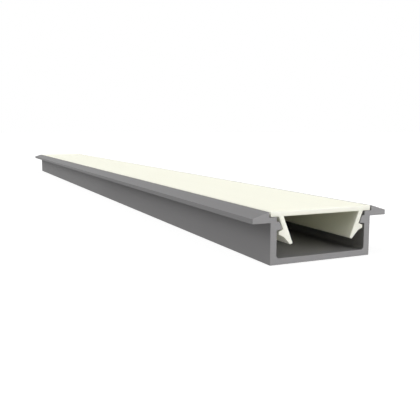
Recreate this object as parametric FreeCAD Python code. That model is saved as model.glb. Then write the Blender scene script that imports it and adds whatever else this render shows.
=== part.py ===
import FreeCAD, Part
import os
from math import cos, hypot, radians, sin, tan

# A recessed aluminium channel for a lighting strip, with its push-in diffuser cover.
# The section lies in the XZ plane and runs along Y. X is across, Z is up, all in millimetres.
# The origin is the middle of the channel's underside, and the section is mirrored about x = 0.

# Length of both extrusions, cut off square and flush at both ends
length = 272.0

# Channel body: a flat-bottomed trough let into a groove
body_width = 22.56
height = 9.9
wall = 1.37
floor = 1.2
floor_corner_radius = 0.6

# Flanges that lie on the panel on both sides of the groove, thinning outwards
flange_reach = 3.72
flange_drop = 2.06
flange_rim = 1.0

# Rebate along the mouth, where the cover's plate lies flush with the top
ledge_width = 1.58
edge_gap = 0.27
seat_gap = 0.06

# Teeth on the inside of the walls, which hold the cover down
notch_depth = 0.91
tooth_height = 1.38
tooth_reach = 1.13
tooth_draft = 10.0

# Cover: a plate with two legs that lean inwards, each with a barb that hooks under its tooth
plate_wall = 0.97
leg_wall = 0.92
leg_lean = 21.6
leg_gap = 0.2
barb_gap = 0.14
barb_reach = 0.99
nose_height = 0.56
kink_reach = 0.4
kink_drop = 1.35
tip_width = 0.58
tip_drop = 3.3

# Corner rounding left by the dies
outer_radius = 0.1
inner_radius = 0.08
tooth_crown_radius = 0.3
kink_radius = 0.3
tip_radius = 0.15

# Largest share of a straight edge that the rounding at one of its ends takes
rounding_share = 0.45

# Places that both pieces share
body_half = body_width / 2
inner_half = body_half - wall
rebate_half = inner_half + ledge_width
plate_under_z = height - plate_wall
ledge_z = plate_under_z - seat_gap
tooth_crown_z = ledge_z - notch_depth
tooth_tip_z = tooth_crown_z - tooth_height
tooth_tip = (inner_half - tooth_reach, tooth_tip_z)
lean_slope = tan(radians(leg_lean))
draft_slope = tan(radians(tooth_draft))


def tooth_face_x(z):
    """The tooth's face rises from its tip and leans back towards the wall, as the leg does."""
    return tooth_tip[0] + (z - tooth_tip[1]) * lean_slope


def leg_point(outward, down):
    """A point in the leg's own directions: out of its outer face, and down along it.

    Both are counted from the point of that face that the tooth's tip looks at.
    """
    out_x, out_z = cos(radians(leg_lean)), -sin(radians(leg_lean))
    down_x, down_z = out_z, -out_x
    reach = outward - leg_gap
    return (
        tooth_tip[0] + reach * out_x + down * down_x,
        tooth_tip[1] + reach * out_z + down * down_z,
    )


def leg_face_x(z, depth):
    """Where the leg's face at a depth below its outer face crosses the height z."""
    x, face_z = leg_point(-depth, 0.0)
    return x + (z - face_z) * lean_slope


def mirrored(corners):
    """The whole outline: the right half as given, then its mirror image walked back."""
    return corners + [(-x, z, radius) for x, z, radius in reversed(corners)]


def rounded_outline(corners):
    """A closed wire in the XZ plane through corners (x, z, radius), each rounded by its tangent arc.

    A radius gives way where the straight stretch beside its corner is too short for it.
    """
    arcs = []
    count = len(corners)
    for index, (x, z, radius) in enumerate(corners):
        before, after = corners[index - 1], corners[(index + 1) % count]
        back = (before[0] - x, before[1] - z)
        ahead = (after[0] - x, after[1] - z)
        back_length, ahead_length = hypot(*back), hypot(*ahead)
        back = (back[0] / back_length, back[1] / back_length)
        ahead = (ahead[0] / ahead_length, ahead[1] / ahead_length)
        middle = (back[0] + ahead[0], back[1] + ahead[1])
        middle_length = hypot(*middle)
        half_cosine = middle_length / 2
        half_sine = (1 - half_cosine**2) ** 0.5
        longest = rounding_share * min(back_length, ahead_length) * half_sine / half_cosine
        radius = min(radius, longest)
        setback = radius * half_cosine / half_sine
        crown = (radius / half_sine - radius) / middle_length
        arcs.append(
            [
                FreeCAD.Vector(x + back[0] * setback, 0, z + back[1] * setback),
                FreeCAD.Vector(x + middle[0] * crown, 0, z + middle[1] * crown),
                FreeCAD.Vector(x + ahead[0] * setback, 0, z + ahead[1] * setback),
            ]
        )
    edges = []
    for index, (start, crown, end) in enumerate(arcs):
        edges.append(Part.Arc(start, crown, end).toShape())
        edges.append(Part.LineSegment(end, arcs[(index + 1) % count][0]).toShape())
    return Part.Wire(edges)


def extruded(corners):
    """The section pushed along the length, with its middle at the origin."""
    section = Part.Face(rounded_outline(corners))
    section.translate(FreeCAD.Vector(0, -length / 2, 0))
    return section.extrude(FreeCAD.Vector(0, length, 0))


def channel():
    """One extrusion: floor, walls, flanges, rebate and teeth."""
    flange_under_z = height - flange_drop
    flange_half = body_half + flange_reach
    crown_x = tooth_face_x(tooth_crown_z)
    crown_root_z = tooth_crown_z + (inner_half - crown_x) * draft_slope
    tip_root_z = tooth_tip_z - tooth_reach * draft_slope
    right_half = [
        (body_half, 0.0, outer_radius),
        (body_half, flange_under_z, inner_radius),
        (flange_half, flange_under_z, outer_radius),
        (flange_half, flange_under_z + flange_rim, outer_radius),
        (rebate_half, height, outer_radius),
        (rebate_half, ledge_z, inner_radius),
        (inner_half, ledge_z, outer_radius),
        (inner_half, crown_root_z, inner_radius),
        (crown_x, tooth_crown_z, tooth_crown_radius),
        (tooth_tip[0], tooth_tip[1], outer_radius),
        (inner_half, tip_root_z, inner_radius),
        (inner_half, floor, floor_corner_radius),
    ]
    return extruded(mirrored(right_half))


def cover():
    """One extrusion: plate, leaning legs and barbs."""
    plate_half = rebate_half - edge_gap
    nose = leg_point(barb_reach, barb_gap)
    right_half = [
        (plate_half, height, outer_radius),
        (plate_half, plate_under_z, outer_radius),
        (leg_face_x(plate_under_z, 0.0), plate_under_z, inner_radius),
        (*leg_point(0.0, barb_gap), inner_radius),
        (*nose, outer_radius),
        (nose[0], nose[1] - nose_height, outer_radius),
        (*leg_point(kink_reach, barb_gap + kink_drop), kink_radius),
        (*leg_point(tip_width - leg_wall, barb_gap + tip_drop), tip_radius),
        (*leg_point(-leg_wall, barb_gap + tip_drop), tip_radius),
        (leg_face_x(plate_under_z, leg_wall), plate_under_z, inner_radius),
    ]
    return extruded(mirrored(right_half))


os.makedirs("parts", exist_ok=True)
for name, solid in (("channel", channel()), ("cover", cover())):
    solid.exportStep(f"parts/{name}.step")
    box = solid.BoundBox
    area = solid.Volume / length
    print(f"{name}: {box.XLength:.2f} x {box.YLength:.2f} x {box.ZLength:.2f} mm, section {area:.2f} mm2")
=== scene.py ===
# %% [markdown]
# This lesson dresses a recessed aluminium channel for a lighting strip, with its push-in diffuser cover.
# The real thing is two extrusions: a matte anodised trough with flanges, and a cream plastic cover whose
# two leaning legs hook under teeth inside the trough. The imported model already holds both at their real
# size, so the script loads it first as a fixed frame, and everything made later goes where that frame
# says.

# %% Load the frame
from math import cos, radians, sin, tan
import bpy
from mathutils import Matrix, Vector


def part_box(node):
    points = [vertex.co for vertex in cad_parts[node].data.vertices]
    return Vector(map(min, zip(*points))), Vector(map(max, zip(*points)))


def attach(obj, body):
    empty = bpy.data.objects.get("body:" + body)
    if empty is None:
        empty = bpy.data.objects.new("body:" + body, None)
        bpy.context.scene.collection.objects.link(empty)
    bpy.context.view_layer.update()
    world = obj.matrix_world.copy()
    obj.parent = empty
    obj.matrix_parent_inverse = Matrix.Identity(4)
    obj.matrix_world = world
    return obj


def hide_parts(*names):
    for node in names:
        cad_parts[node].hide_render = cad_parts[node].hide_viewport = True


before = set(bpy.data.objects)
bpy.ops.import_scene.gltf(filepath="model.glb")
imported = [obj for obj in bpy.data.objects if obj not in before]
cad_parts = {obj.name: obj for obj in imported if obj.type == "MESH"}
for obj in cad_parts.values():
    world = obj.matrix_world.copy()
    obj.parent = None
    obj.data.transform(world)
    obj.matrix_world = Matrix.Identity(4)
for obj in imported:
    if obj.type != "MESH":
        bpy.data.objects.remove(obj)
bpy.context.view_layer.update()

from types import SimpleNamespace

import bpy
import numpy as np
from mathutils import Vector


MM = 0.001
CHANNEL_LOW, CHANNEL_HIGH = (Vector(corner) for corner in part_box("channel"))
COVER_LOW, COVER_HIGH = (Vector(corner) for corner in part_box("cover"))
print("channel", CHANNEL_LOW, CHANNEL_HIGH, "cover", COVER_LOW, COVER_HIGH)

# %% [markdown]
# The camera comes first, because every finish is judged through it. The photograph's straight edges run to
# vanishing points, and a camera solved from them stands a little left of the near end and just above the
# cover. A level camera with no shift meets every edge to about a quarter of a pixel, so no shift is used.

# %% Camera
CAMERA_ACROSS = -63.34 * MM
CAMERA_BEFORE_END = 87.49 * MM
CAMERA_HEIGHT = 24.35 * MM
CAMERA_HEADING = 24.63
CAMERA_DIP = 7.93
CAMERA_LENS = 48.91
SENSOR_WIDTH = 36.0

near_end = CHANNEL_LOW.y
camera_data = bpy.data.cameras.new("photo_camera")
camera_data.lens = CAMERA_LENS
camera_data.sensor_width = SENSOR_WIDTH
camera_data.clip_start = 1 * MM
camera = bpy.data.objects.new("photo_camera", camera_data)
bpy.context.scene.collection.objects.link(camera)
heading, dip = radians(CAMERA_HEADING), radians(CAMERA_DIP)
looking = Vector((sin(heading) * cos(dip), cos(heading) * cos(dip), -sin(dip)))
camera.location = (CAMERA_ACROSS, near_end - CAMERA_BEFORE_END, CAMERA_HEIGHT)
camera.rotation_euler = looking.to_track_quat("-Z", "Y").to_euler()
bpy.context.scene.camera = camera
print("camera at", camera.location, "looking", looking)

# %% [markdown]
# The section of an extrusion is an outline of straight sides with small rounded corners, which the die
# leaves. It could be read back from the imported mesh, but that has only two or three flats to a corner.
# Here the corners are worked out again from the same sizes, and each is given a fine arc together with the
# exact direction that its surface faces. Those directions do two jobs: they shade the flats as flats, and
# they show which way is inwards when the cut ends are broken.

# %% Rounded outlines
ARC_POINTS = 7


def unit(rows):
    """Each row divided by its own length."""
    return rows / np.linalg.norm(rows, axis=-1, keepdims=True)


def rounded_outline(corners):
    """Points round a closed outline in (x, z), and the way that the surface faces at each.

    A corner (x, z, radius) gives way to the arc that touches both its sides. Its centre lies on the bisector,
    radius / sin(half the corner) away. Its points turn from the first touching point to the second, as
    (sin((1 - s) * turn) * first + sin(s * turn) * second) / sin(turn), with s from 0 to 1.
    """
    place, radius = corners[:, None, :2], corners[:, None, 2:]
    back = unit(np.roll(place, 1, axis=0) - place)
    ahead = unit(np.roll(place, -1, axis=0) - place)
    half_sine = np.linalg.norm(back - ahead, axis=-1, keepdims=True) / 2
    half_cosine = np.sqrt(1 - half_sine**2)
    centre = place + unit(back + ahead) * radius / half_sine
    first = place + back * radius * half_cosine / half_sine - centre
    second = place + ahead * radius * half_cosine / half_sine - centre
    turn = np.pi - 2 * np.arcsin(half_sine)
    share = np.linspace(0, 1, ARC_POINTS)[None, :, None]
    arm = (np.sin((1 - share) * turn) * first + np.sin(share * turn) * second) / np.sin(turn)
    bulges = np.sign(back[..., 1:] * ahead[..., :1] - back[..., :1] * ahead[..., 1:])
    facing = unit(arm) * bulges
    return (centre + arm).reshape(-1, 2), facing.reshape(-1, 2)


def mirrored(right_half):
    """The right half's corners, then the same corners at -x walked back."""
    half = np.array(right_half)
    return np.concatenate([half, half[::-1] * (-1, 1, 1)])


square = np.array([(1.0, 0.0, 0.2), (1.0, 1.0, 0.2), (0.0, 1.0, 0.2), (0.0, 0.0, 0.2)])
points, facing = rounded_outline(square)
print("test square", len(points), "points, facing", facing[0].round(3), "to", facing[-1].round(3))

# %% [markdown]
# Both sections hang on the same few sizes. The wall and the tooth place the leg, and the leg places the
# barb, with a fraction of a millimetre of play between them, so the cover can be slid along the trough.

# %% Sizes of the section
BODY_HALF = 11.28 * MM
WALL = 1.37 * MM
FLOOR = 1.2 * MM
FLANGE_DROP = 2.06 * MM
FLANGE_RIM = 1.0 * MM
LEDGE_WIDTH = 1.58 * MM
SEAT_GAP = 0.06 * MM
NOTCH_DEPTH = 0.91 * MM
TOOTH_HEIGHT = 1.38 * MM
TOOTH_REACH = 1.13 * MM
TOOTH_DRAFT = tan(radians(10.0))
PLATE_WALL = 0.97 * MM
LEG_WALL = 0.92 * MM
LEG_LEAN = radians(21.6)
LEG_GAP = 0.2 * MM
BARB_GAP = 0.14 * MM
BARB_REACH = 0.99 * MM
NOSE_HEIGHT = 0.56 * MM
KINK_REACH = 0.4 * MM
KINK_DROP = 1.35 * MM
TIP_WIDTH = 0.58 * MM
TIP_DROP = 3.3 * MM

OUTER_RADIUS = 0.1 * MM
INNER_RADIUS = 0.08 * MM
FLOOR_RADIUS = 0.6 * MM
CROWN_RADIUS = 0.3 * MM
KINK_RADIUS = 0.3 * MM
TIP_RADIUS = 0.15 * MM

top = COVER_HIGH.z
inner_half = BODY_HALF - WALL
plate_under = top - PLATE_WALL
ledge = plate_under - SEAT_GAP
crown = ledge - NOTCH_DEPTH
tooth_tip = Vector((inner_half - TOOTH_REACH, crown - TOOTH_HEIGHT))
leg_out = Vector((cos(LEG_LEAN), -sin(LEG_LEAN)))
leg_down = Vector((-sin(LEG_LEAN), -cos(LEG_LEAN)))
leg_start = tooth_tip - leg_out * LEG_GAP


def leg_corner(outward, down, radius):
    """A corner at a distance out of the leg's outer face and down along it, from beside the tooth's tip."""
    place = leg_start + leg_out * outward + leg_down * down
    return (place.x, place.y, radius)


def leg_root(depth):
    """The corner where the leg's face, at a depth below its outer one, meets the plate's underside."""
    face = leg_start - leg_out * depth
    return (face.x + (plate_under - face.y) * tan(LEG_LEAN), plate_under, INNER_RADIUS)


print("tooth tip", tooth_tip, "leg root", leg_root(0.0))

# %% [markdown]
# The trough's section, walked anticlockwise from its lower right corner: up the wall, out along the flange
# and back over its slope, down into the rebate, round the tooth, and down to the floor.

# %% Outline of the trough


def channel_outline():
    """The trough's right half by corners, mirrored and rounded."""
    flange_under = top - FLANGE_DROP
    flange_half = CHANNEL_HIGH.x
    rebate_half = inner_half + LEDGE_WIDTH
    crown_x = tooth_tip.x + (crown - tooth_tip.y) * tan(LEG_LEAN)
    right_half = [
        (BODY_HALF, CHANNEL_LOW.z, OUTER_RADIUS),
        (BODY_HALF, flange_under, INNER_RADIUS),
        (flange_half, flange_under, OUTER_RADIUS),
        (flange_half, flange_under + FLANGE_RIM, OUTER_RADIUS),
        (rebate_half, top, OUTER_RADIUS),
        (rebate_half, ledge, INNER_RADIUS),
        (inner_half, ledge, OUTER_RADIUS),
        (inner_half, crown + (inner_half - crown_x) * TOOTH_DRAFT, INNER_RADIUS),
        (crown_x, crown, CROWN_RADIUS),
        (tooth_tip.x, tooth_tip.y, OUTER_RADIUS),
        (inner_half, tooth_tip.y - TOOTH_REACH * TOOTH_DRAFT, INNER_RADIUS),
        (inner_half, FLOOR, FLOOR_RADIUS),
    ]
    return rounded_outline(mirrored(right_half))


channel_points, channel_facing = channel_outline()
print("trough outline", len(channel_points), "points, height", channel_points[:, 1].max() / MM)

# %% [markdown]
# The cover's section: a flat plate, then each leg down its outer face to the barb that hooks under the
# tooth, round the barb's blunt nose, down the ramp that lets it spring past the tooth, and up the leg's
# inner face.

# %% Outline of the cover


def cover_outline():
    """The cover's right half by corners, mirrored and rounded."""
    plate_half = COVER_HIGH.x
    nose = leg_corner(BARB_REACH, BARB_GAP, OUTER_RADIUS)
    right_half = [
        leg_root(LEG_WALL),
        leg_corner(-LEG_WALL, BARB_GAP + TIP_DROP, TIP_RADIUS),
        leg_corner(TIP_WIDTH - LEG_WALL, BARB_GAP + TIP_DROP, TIP_RADIUS),
        leg_corner(KINK_REACH, BARB_GAP + KINK_DROP, KINK_RADIUS),
        (nose[0], nose[1] - NOSE_HEIGHT, OUTER_RADIUS),
        nose,
        leg_corner(0.0, BARB_GAP, INNER_RADIUS),
        leg_root(0.0),
        (plate_half, plate_under, OUTER_RADIUS),
        (plate_half, top, OUTER_RADIUS),
    ]
    return rounded_outline(mirrored(right_half))


cover_points, cover_facing = cover_outline()
print("cover outline", len(cover_points), "points, lowest", cover_points[:, 1].min() / MM)

# %% [markdown]
# An extrusion is its section carried along a straight line and sawn off. A saw leaves a burr, and a quick
# stroke of a file takes it away, so a real cut end never has a razor edge: it has a thin bright line all
# round. A Bevel modifier could break the edge, but would also touch the long corners. Here the end rings
# are drawn in along the known directions, on a quarter circle, and the cut face closes the last ring.

# %% Sweep a section along the length
RINGS_BETWEEN = 34
EDGE_RINGS = 4


def extrusion(name, outline, facing, low_y, high_y, broken_edge):
    """A closed mesh: the outline carried from low_y to high_y, its end edges rounded by broken_edge.

    At an angle a from 0 to 90 degrees, a ring lies broken_edge * (1 - cos a) in from the cut and is drawn
    in by broken_edge * (1 - sin a). The attribute cut is 1 on the sawn faces and 0 elsewhere.
    """
    angle = np.linspace(0, np.pi / 2, EDGE_RINGS)
    depth = broken_edge * (1 - np.cos(angle))
    middle = np.linspace(low_y + broken_edge, high_y - broken_edge, RINGS_BETWEEN + 2)[1:-1]
    along = np.concatenate([low_y + depth, middle, (high_y - depth)[::-1]])
    inset = np.concatenate([broken_edge * (1 - np.sin(angle)), np.zeros(RINGS_BETWEEN)])
    inset = np.concatenate([inset, inset[:EDGE_RINGS][::-1]])
    outward = np.concatenate([np.sin(angle), np.ones(RINGS_BETWEEN), np.sin(angle)[::-1]])
    endward = np.concatenate([-np.cos(angle), np.zeros(RINGS_BETWEEN), np.cos(angle)[::-1]])
    rings, count = len(along), len(outline)

    section = outline[None] - facing[None] * inset[:, None, None]
    grid = np.empty((rings, count, 3))
    grid[..., 0] = section[..., 0]
    grid[..., 1] = along[:, None]
    grid[..., 2] = section[..., 1]
    normal = np.empty((rings, count, 3))
    normal[..., 0] = facing[None, :, 0] * outward[:, None]
    normal[..., 1] = endward[:, None]
    normal[..., 2] = facing[None, :, 1] * outward[:, None]

    ring, column = np.meshgrid(np.arange(rings - 1), np.arange(count), indexing="ij")
    here, beside = ring * count + column, ring * count + (column + 1) % count
    sides = np.stack([here, here + count, beside + count, beside], axis=-1).reshape(-1, 4)
    near_cut = np.arange(count)
    far_cut = near_cut[::-1] + (rings - 1) * count
    faces = sides.tolist() + [near_cut.tolist(), far_cut.tolist()]
    mesh = bpy.data.meshes.new(name)
    mesh.from_pydata(grid.reshape(-1, 3).tolist(), [], faces)
    mesh.polygons.foreach_set("use_smooth", np.arange(len(faces)) < len(sides))

    cut_normal = np.tile((0.0, -1.0, 0.0), (count, 1))
    loop_normals = np.concatenate([normal.reshape(-1, 3)[sides.ravel()], cut_normal, -cut_normal])
    mesh.normals_split_custom_set(loop_normals.tolist())
    cut = mesh.attributes.new("cut", "FLOAT", "CORNER")
    cut.data.foreach_set("value", np.repeat((0.0, 1.0), (sides.size, 2 * count)))
    piece = bpy.data.objects.new(name, mesh)
    bpy.context.scene.collection.objects.link(piece)
    print(name, len(mesh.vertices), "vertices, closed", not mesh.validate())
    return piece


# %% [markdown]
# The trough's ends were filed after sawing, and the plastic cover's cut edge is a touch sharper. Both
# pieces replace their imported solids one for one, and ride on the same bodies, so the cover still slides.

# %% Build both pieces
CHANNEL_BROKEN_EDGE = 0.08 * MM
COVER_BROKEN_EDGE = 0.06 * MM

channel = extrusion(
    "aluminium_channel", channel_points, channel_facing, CHANNEL_LOW.y, CHANNEL_HIGH.y, CHANNEL_BROKEN_EDGE
)
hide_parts("channel")
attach(channel, "trough")

cover = extrusion("diffuser_cover", cover_points, cover_facing, COVER_LOW.y, COVER_HIGH.y, COVER_BROKEN_EDGE)
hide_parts("cover")
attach(cover, "diffuser")

# %% [markdown]
# Materials are graphs of nodes, and sums in them are easier to read as sums. One small class wraps a
# socket and turns each operator into a Math node, and one function places any other node. A few short
# helpers then name what both finishes need: a grain, the sawn faces, a colour between two, and bumps of a
# known height.

# %% Shader maths


class Number:
    """A node's output that takes part in sums: each operator adds a Math node that holds it."""

    def __init__(self, socket):
        self.socket = socket

    def combined(self, operation, first, second):
        """The output of a new Math node in the same tree."""
        tree = self.socket.id_data
        node = place_node(tree, "ShaderNodeMath", {"operation": operation}, {0: first, 1: second})
        return Number(node.outputs[0])

    def __add__(self, other):
        return self.combined("ADD", self, other)

    def __radd__(self, other):
        return self.combined("ADD", other, self)

    def __sub__(self, other):
        return self.combined("SUBTRACT", self, other)

    def __rsub__(self, other):
        return self.combined("SUBTRACT", other, self)

    def __mul__(self, other):
        return self.combined("MULTIPLY", self, other)

    def __rmul__(self, other):
        return self.combined("MULTIPLY", other, self)


def place_node(tree, kind, settings=None, inputs=None):
    """A new node: its settings first, then a value or a link for each named or numbered socket."""
    node = tree.nodes.new(kind)
    for name, value in (settings or {}).items():
        setattr(node, name, value)
    for name, value in (inputs or {}).items():
        value = value.socket if isinstance(value, Number) else value
        if isinstance(value, bpy.types.NodeSocket):
            tree.links.new(value, node.inputs[name])
        else:
            node.inputs[name].default_value = value
    return node


def new_material(name):
    """An empty material with its Principled shader joined to the output."""
    material = bpy.data.materials.new(name)
    material.use_nodes = True
    tree = material.node_tree
    tree.nodes.clear()
    shader = place_node(tree, "ShaderNodeBsdfPrincipled")
    place_node(tree, "ShaderNodeOutputMaterial", {}, {"Surface": shader.outputs[0]})
    return SimpleNamespace(material=material, tree=tree, shader=shader)


def set_sockets(made, **values):
    """Values or links on the Principled shader, a socket's name written with underscores."""
    for name, value in values.items():
        socket = made.shader.inputs[name.replace("_", " ")]
        value = value.socket if isinstance(value, Number) else value
        if isinstance(value, bpy.types.NodeSocket):
            made.tree.links.new(value, socket)
        else:
            socket.default_value = value


GRAIN_DETAIL = 2.0


def grain(made, stretch, detail=GRAIN_DETAIL):
    """Noise in the piece's own space with this many cells to the metre along X, Y and Z, about 0.5."""
    place = place_node(made.tree, "ShaderNodeTexCoord").outputs["Object"]
    scaled = place_node(made.tree, "ShaderNodeMapping", {}, {"Vector": place, "Scale": stretch})
    noise = place_node(
        made.tree, "ShaderNodeTexNoise", {}, {"Vector": scaled.outputs[0], "Scale": 1.0, "Detail": detail}
    )
    return Number(noise.outputs["Fac"])


def sawn(made):
    """1 on the sawn faces and 0 elsewhere, read from the attribute cut."""
    return Number(place_node(made.tree, "ShaderNodeAttribute", {"attribute_name": "cut"}).outputs["Fac"])


def tinted(made, amount, first, second):
    """A colour between two, by an amount from 0 to 1."""
    inputs = {"Factor": amount, "A": first, "B": second}
    return place_node(made.tree, "ShaderNodeMix", {"data_type": "RGBA"}, inputs).outputs["Result"]


def raised(made, height):
    """The way a surface faces when its bumps are this many metres high."""
    inputs = {"Height": height, "Distance": 1.0, "Strength": 1.0}
    return place_node(made.tree, "ShaderNodeBump", {}, inputs).outputs["Normal"]


# %% [markdown]
# Anodised aluminium from a die is matte and grey. The oxide layer scatters most of the light, so only a
# part of it is metal. The die draws faint lines along it, so the grain is noise that is fine across the
# section and stretched out along Y. The saw leaves another mark on the cut faces: fine lines that all run
# the same way. Both make the grey a few hundredths lighter and darker, and raise a bump of a few microns.

# %% Aluminium
ALUMINIUM_DARK = (0.208, 0.205, 0.207, 1.0)
ALUMINIUM_LIGHT = (0.254, 0.250, 0.252, 1.0)
DIE_LINES = (2600.0, 5.0, 2600.0)
DIE_BANDS = (420.0, 2.0, 420.0)
LINES_SHARE = 0.6
SAW_LINES = (260.0, 400.0, 5200.0)
BUMP_DEPTH = 0.004 * MM
METAL_SHARE = 0.35
LEAST_ROUGH = 0.5
ROUGH_SPREAD = 0.2
SHEEN_LEVEL = 0.1
SHEEN_TINT = (0.5, 0.5, 0.5, 1.0)


def aluminium():
    """Matte anodised aluminium with die lines along it and saw marks on the cut faces."""
    made = new_material("aluminium_anodised")
    cut = sawn(made)
    lines = grain(made, DIE_LINES) * LINES_SHARE + grain(made, DIE_BANDS) * (1 - LINES_SHARE)
    marks = lines * (1 - cut) + grain(made, SAW_LINES) * cut
    set_sockets(
        made,
        Base_Color=tinted(made, marks, ALUMINIUM_DARK, ALUMINIUM_LIGHT),
        Metallic=METAL_SHARE,
        Roughness=marks * ROUGH_SPREAD + LEAST_ROUGH,
        Specular_IOR_Level=SHEEN_LEVEL,
        Specular_Tint=SHEEN_TINT,
        Normal=raised(made, marks * BUMP_DEPTH),
    )
    return made.material


channel.data.materials.append(aluminium())
print("aluminium nodes", len(channel.data.materials[0].node_tree.nodes))

# %% [markdown]
# The cover is opal plastic, cream rather than white, with a soft dull face. Light enters it, spreads for a
# few millimetres and comes out again, which Subsurface gives. All colours go equally far, so the cream
# stays cream, and the thin legs and the sawn end glow a little where the lamp strikes them. Extruding
# leaves the plastic faintly streaked, and its surface has a fine frost. The saw roughens its cut faces, so
# they look a touch lighter.

# %% Opal plastic
OPAL_DARK = (0.925, 0.920, 0.745, 1.0)
OPAL_LIGHT = (0.965, 0.959, 0.785, 1.0)
OPAL_CUT = (0.990, 0.985, 0.830, 1.0)
OPAL_STREAKS = (700.0, 3.0, 700.0)
OPAL_FROST = (5200.0, 5200.0, 5200.0)
FROST_DETAIL = 1.0
STREAKS_SHARE = 0.7
FROST_DEPTH = 0.003 * MM
OPAL_LEAST_ROUGH = 0.8
OPAL_ROUGH_SPREAD = 0.1
OPAL_SHEEN_LEVEL = 0.2
LET_IN = 0.45
LET_IN_REACH = 3.0 * MM
LET_IN_COLOURS = (1.0, 1.0, 1.0)


def opal_plastic():
    """Cream dull plastic that lets light in for a few millimetres."""
    made = new_material("opal_plastic")
    streaks = grain(made, OPAL_STREAKS)
    frost = grain(made, OPAL_FROST, FROST_DETAIL)
    clouded = streaks * STREAKS_SHARE + frost * (1 - STREAKS_SHARE)
    cream = tinted(made, clouded, OPAL_DARK, OPAL_LIGHT)
    set_sockets(
        made,
        Base_Color=tinted(made, sawn(made), cream, OPAL_CUT),
        Roughness=streaks * OPAL_ROUGH_SPREAD + OPAL_LEAST_ROUGH,
        Specular_IOR_Level=OPAL_SHEEN_LEVEL,
        Subsurface_Weight=LET_IN,
        Subsurface_Radius=LET_IN_COLOURS,
        Subsurface_Scale=LET_IN_REACH,
        Normal=raised(made, frost * FROST_DEPTH),
    )
    return made.material


cover.data.materials.append(opal_plastic())
print("opal nodes", len(cover.data.materials[0].node_tree.nodes))

# %% [markdown]
# The photograph has a pure white ground and no hard shadow, as in a catalogue. Lamps that make a floor so
# white would burn out the cream cover, and a floor that glowed would light the trough from below. So a
# Light Path node gives it two faces. Light that spreads meets a dull grey floor. The camera and
# reflections meet a pale one that gives most of its white itself, and the rest is lit by the lamps, so it
# keeps the object's soft shadow.

# %% Floor
FLOOR_HALF = 4.0
FLOOR_UNDER = 0.05 * MM
DULL_FLOOR = (0.3, 0.3, 0.3, 1.0)
SHOWN_FLOOR = (0.42, 0.42, 0.42, 1.0)
SHOWN_GLOW = 0.74


def seen_directly(tree):
    """1 for rays from the camera, a mirror or glass, and 0 for light that spreads."""
    path = place_node(tree, "ShaderNodeLightPath")
    rays = [Number(path.outputs[name]) for name in ("Is Camera Ray", "Is Glossy Ray", "Is Transmission Ray")]
    return rays[0] + rays[1] + rays[2]


def floor():
    """A plain pale floor that looks white and keeps the object's shadow."""
    mesh = bpy.data.meshes.new("floor")
    corners = np.array([(-1, -1, 0), (1, -1, 0), (1, 1, 0), (-1, 1, 0)]) * FLOOR_HALF
    corners[:, 2] = CHANNEL_LOW.z - FLOOR_UNDER
    mesh.from_pydata(corners.tolist(), [], [[0, 1, 2, 3]])
    material = bpy.data.materials.new("floor")
    material.use_nodes = True
    tree = material.node_tree
    tree.nodes.clear()
    dull = place_node(tree, "ShaderNodeBsdfDiffuse", {}, {"Color": DULL_FLOOR})
    lit = place_node(tree, "ShaderNodeBsdfDiffuse", {}, {"Color": SHOWN_FLOOR})
    glow = place_node(tree, "ShaderNodeEmission", {}, {"Strength": SHOWN_GLOW})
    shown = place_node(tree, "ShaderNodeAddShader", {}, {0: lit.outputs[0], 1: glow.outputs[0]})
    both = place_node(
        tree, "ShaderNodeMixShader", {}, {0: seen_directly(tree), 1: dull.outputs[0], 2: shown.outputs[0]}
    )
    place_node(tree, "ShaderNodeOutputMaterial", {}, {"Surface": both.outputs[0]})
    mesh.materials.append(material)
    made = bpy.data.objects.new("floor", mesh)
    bpy.context.scene.collection.objects.link(made)


floor()

# %% [markdown]
# The light is plain and soft: a dim even sky, and three broad lamps far away. The key stands low in front
# and to the right. It lights the cut end and only skims over the trough's floor, so the inside stays dark.
# The fill stands behind on the left, and draws the shadow of the flange along the wall under it. A weak
# third comes from the right above. Together they bring a white surface that faces up or forward to about
# 1, so a colour shows about as it is written.

# %% Light
WHITE = (1.0, 1.0, 1.0, 1.0)
SKY_STRENGTH = 0.36
KEY_FROM = Vector((0.640, -0.763, 0.087))
KEY_STRENGTH = 4.05
FILL_FROM = Vector((-0.664, 0.242, 0.707))
FILL_STRENGTH = 1.7
TOP_FROM = Vector((0.707, 0.0, 0.707))
TOP_STRENGTH = 0.55
LAMP_SPREAD = 50.0


def sky():
    """White to the camera, and an even dim light to everything else."""
    world = bpy.data.worlds.new("sky")
    bpy.context.scene.world = world
    world.use_nodes = True
    tree = world.node_tree
    tree.nodes.clear()
    strength = seen_directly(tree) * (1 - SKY_STRENGTH) + SKY_STRENGTH
    light = place_node(tree, "ShaderNodeBackground", {}, {"Color": WHITE, "Strength": strength})
    place_node(tree, "ShaderNodeOutputWorld", {}, {"Surface": light.outputs[0]})


def lamp(name, direction, strength):
    """A broad soft lamp, far away in a direction."""
    light = bpy.data.lights.new(name, "SUN")
    light.energy = strength
    light.angle = radians(LAMP_SPREAD)
    made = bpy.data.objects.new(name, light)
    made.rotation_euler = (-direction).to_track_quat("-Z", "Y").to_euler()
    bpy.context.scene.collection.objects.link(made)


sky()
lamp("key", KEY_FROM, KEY_STRENGTH)
lamp("fill", FILL_FROM, FILL_STRENGTH)
lamp("top", TOP_FROM, TOP_STRENGTH)
bpy.context.scene.view_settings.view_transform = "Standard"
